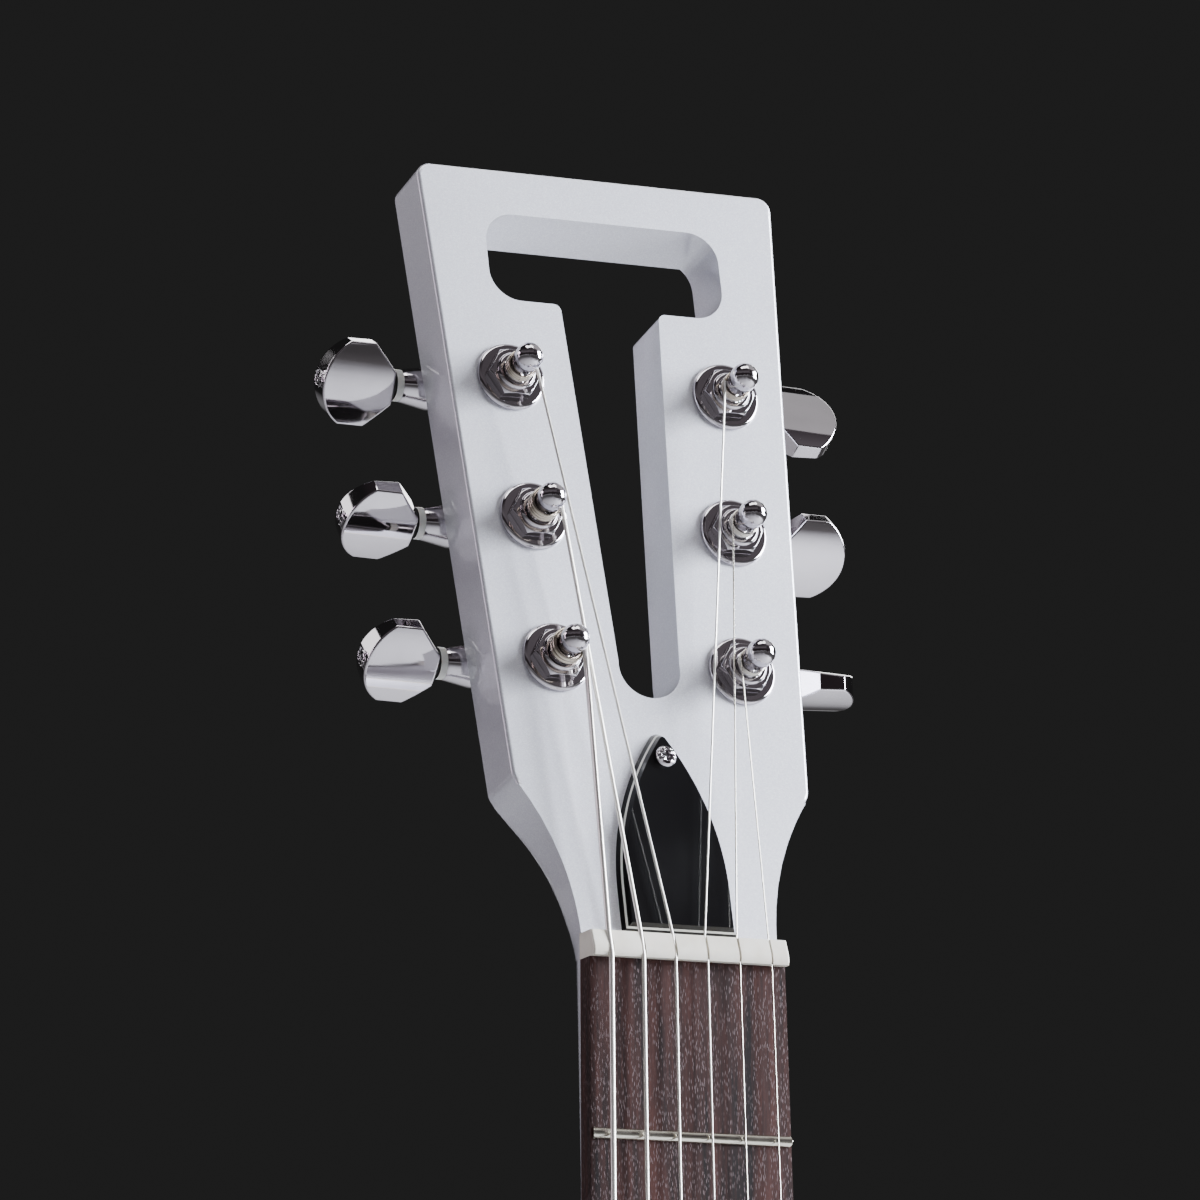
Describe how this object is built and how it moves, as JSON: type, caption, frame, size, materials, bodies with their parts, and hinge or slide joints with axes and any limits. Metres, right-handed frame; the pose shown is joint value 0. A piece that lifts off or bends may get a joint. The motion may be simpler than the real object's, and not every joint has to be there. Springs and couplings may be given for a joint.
{
  "type": "resonator guitar",
  "caption": "Silver single-cone resonator guitar with an open-window headstock, sealed tuners, domed cover plate and round soundholes.",
  "frame": {"origin": "on the neck's middle plane just below the headstock's shoulders, where a hanger's two prongs carry it: 20 mm above the nut's front edge and 12 mm behind the fretboard's face", "axes": "+Z towards the headstock, along the strings; -Y is the face with the strings; +X is the treble side"},
  "size_m": [0.357, 0.1082, 1.0363],
  "materials": {
    "silver_lacquer": "silver metallic lacquer under gloss clear coat",
    "rosewood": "oiled, open pores",
    "nickel_silver": "polished",
    "pearl": "pearl",
    "nut_white": "satin",
    "black_laminate": "black, white and black laminate, polished",
    "cream_binding": "gloss",
    "bare_wood": "bare",
    "maple": "bare, fine",
    "cone_aluminium": "spun",
    "chrome": "polished",
    "nylon": "translucent white",
    "steel": "machined",
    "string_steel": "drawn and wound wire",
    "screen_black": "satin black"
  },
  "bodies": {
    "root": {"back_braces": "bare_wood", "biscuit": "maple", "body_back": "silver_lacquer", "body_bindings": "cream_binding", "body_linings": "bare_wood", "body_rim": "silver_lacquer", "body_top": "silver_lacquer", "cover_plate": "chrome", "end_blocks": "bare_wood", "face_dots": "pearl", "fretboard": "rosewood", "frets": "nickel_silver", "hand_rest": "chrome", "neck": "silver_lacquer", "neck_bolts": "steel", "nut": "nut_white", "resonator_cone": "cone_aluminium", "resonator_screws": "chrome", "saddle": "maple", "side_dots": "pearl", "soundhole_screens": "screen_black", "soundwell": "bare_wood", "strap_buttons": "chrome", "strings": "string_steel", "tail_screws": "chrome", "tailpiece": "chrome", "truss_cover_screw": "chrome", "truss_rod": "steel", "truss_rod_cover": "black_laminate", "tuner_bushings": "chrome", "tuner_button_washers": "nylon", "tuner_ear_screws": "chrome", "tuner_housings": "chrome", "tuner_washers": "chrome"},
    "truss_rod_nut": {"truss_rod_nut": "steel"},
    "tuner_1_key": {"tuner_1_button": "chrome", "tuner_1_worm_shaft": "steel"},
    "tuner_1_string_post": {"tuner_1_post": "chrome", "string_1_winding": "string_steel"},
    "tuner_2_key": {"tuner_2_button": "chrome", "tuner_2_worm_shaft": "steel"},
    "tuner_2_string_post": {"tuner_2_post": "chrome", "string_2_winding": "string_steel"},
    "tuner_3_key": {"tuner_3_button": "chrome", "tuner_3_worm_shaft": "steel"},
    "tuner_3_string_post": {"tuner_3_post": "chrome", "string_3_winding": "string_steel"},
    "tuner_4_key": {"tuner_4_button": "chrome", "tuner_4_worm_shaft": "steel"},
    "tuner_4_string_post": {"tuner_4_post": "chrome", "string_6_winding": "string_steel"},
    "tuner_5_key": {"tuner_5_button": "chrome", "tuner_5_worm_shaft": "steel"},
    "tuner_5_string_post": {"tuner_5_post": "chrome", "string_5_winding": "string_steel"},
    "tuner_6_key": {"tuner_6_button": "chrome", "tuner_6_worm_shaft": "steel"},
    "tuner_6_string_post": {"tuner_6_post": "chrome", "string_4_winding": "string_steel"}
  },
  "joints": [
    {"name": "tuner_1_key_turn", "type": "hinge", "parent": "root", "child": "tuner_1_key", "pos_m": [-0.0468, 0.02453, 0.04591], "axis": [-1, 0, 0], "continuous": true},
    {"name": "tuner_1_post_turn", "type": "hinge", "parent": "root", "child": "tuner_1_string_post", "pos_m": [-0.0208, 0.00414, 0.04413], "axis": [0, -0.979, 0.2036], "continuous": true},
    {"name": "tuner_2_key_turn", "type": "hinge", "parent": "root", "child": "tuner_2_key", "pos_m": [-0.04863, 0.03094, 0.07675], "axis": [-1, 0, 0], "continuous": true},
    {"name": "tuner_2_post_turn", "type": "hinge", "parent": "root", "child": "tuner_2_string_post", "pos_m": [-0.02263, 0.01055, 0.07497], "axis": [0, -0.979, 0.2036], "continuous": true},
    {"name": "tuner_3_key_turn", "type": "hinge", "parent": "root", "child": "tuner_3_key", "pos_m": [-0.05046, 0.03736, 0.10759], "axis": [-1, 0, 0], "continuous": true},
    {"name": "tuner_3_post_turn", "type": "hinge", "parent": "root", "child": "tuner_3_string_post", "pos_m": [-0.02446, 0.01697, 0.10581], "axis": [0, -0.979, 0.2036], "continuous": true},
    {"name": "tuner_4_key_turn", "type": "hinge", "parent": "root", "child": "tuner_4_key", "pos_m": [0.0468, 0.02453, 0.04591], "axis": [1, 0, 0], "continuous": true},
    {"name": "tuner_4_post_turn", "type": "hinge", "parent": "root", "child": "tuner_4_string_post", "pos_m": [0.0208, 0.00414, 0.04413], "axis": [0, -0.979, 0.2036], "continuous": true},
    {"name": "tuner_5_key_turn", "type": "hinge", "parent": "root", "child": "tuner_5_key", "pos_m": [0.04863, 0.03094, 0.07675], "axis": [1, 0, 0], "continuous": true},
    {"name": "tuner_5_post_turn", "type": "hinge", "parent": "root", "child": "tuner_5_string_post", "pos_m": [0.02263, 0.01055, 0.07497], "axis": [0, -0.979, 0.2036], "continuous": true},
    {"name": "tuner_6_key_turn", "type": "hinge", "parent": "root", "child": "tuner_6_key", "pos_m": [0.05046, 0.03736, 0.10759], "axis": [1, 0, 0], "continuous": true},
    {"name": "tuner_6_post_turn", "type": "hinge", "parent": "root", "child": "tuner_6_string_post", "pos_m": [0.02446, 0.01697, 0.10581], "axis": [0, -0.979, 0.2036], "continuous": true},
    {"name": "truss_nut_turn", "type": "hinge", "parent": "root", "child": "truss_rod_nut", "pos_m": [0, 0.0006, -0.006], "axis": [0, 0, 1], "range_deg": [-180, 180]}
  ],
  "couplings": [
    {"joint": "tuner_1_post_turn", "follows": "tuner_1_key_turn", "ratio": -0.071429},
    {"joint": "tuner_2_post_turn", "follows": "tuner_2_key_turn", "ratio": -0.071429},
    {"joint": "tuner_3_post_turn", "follows": "tuner_3_key_turn", "ratio": -0.071429},
    {"joint": "tuner_4_post_turn", "follows": "tuner_4_key_turn", "ratio": 0.071429},
    {"joint": "tuner_5_post_turn", "follows": "tuner_5_key_turn", "ratio": 0.071429},
    {"joint": "tuner_6_post_turn", "follows": "tuner_6_key_turn", "ratio": 0.071429}
  ]
}
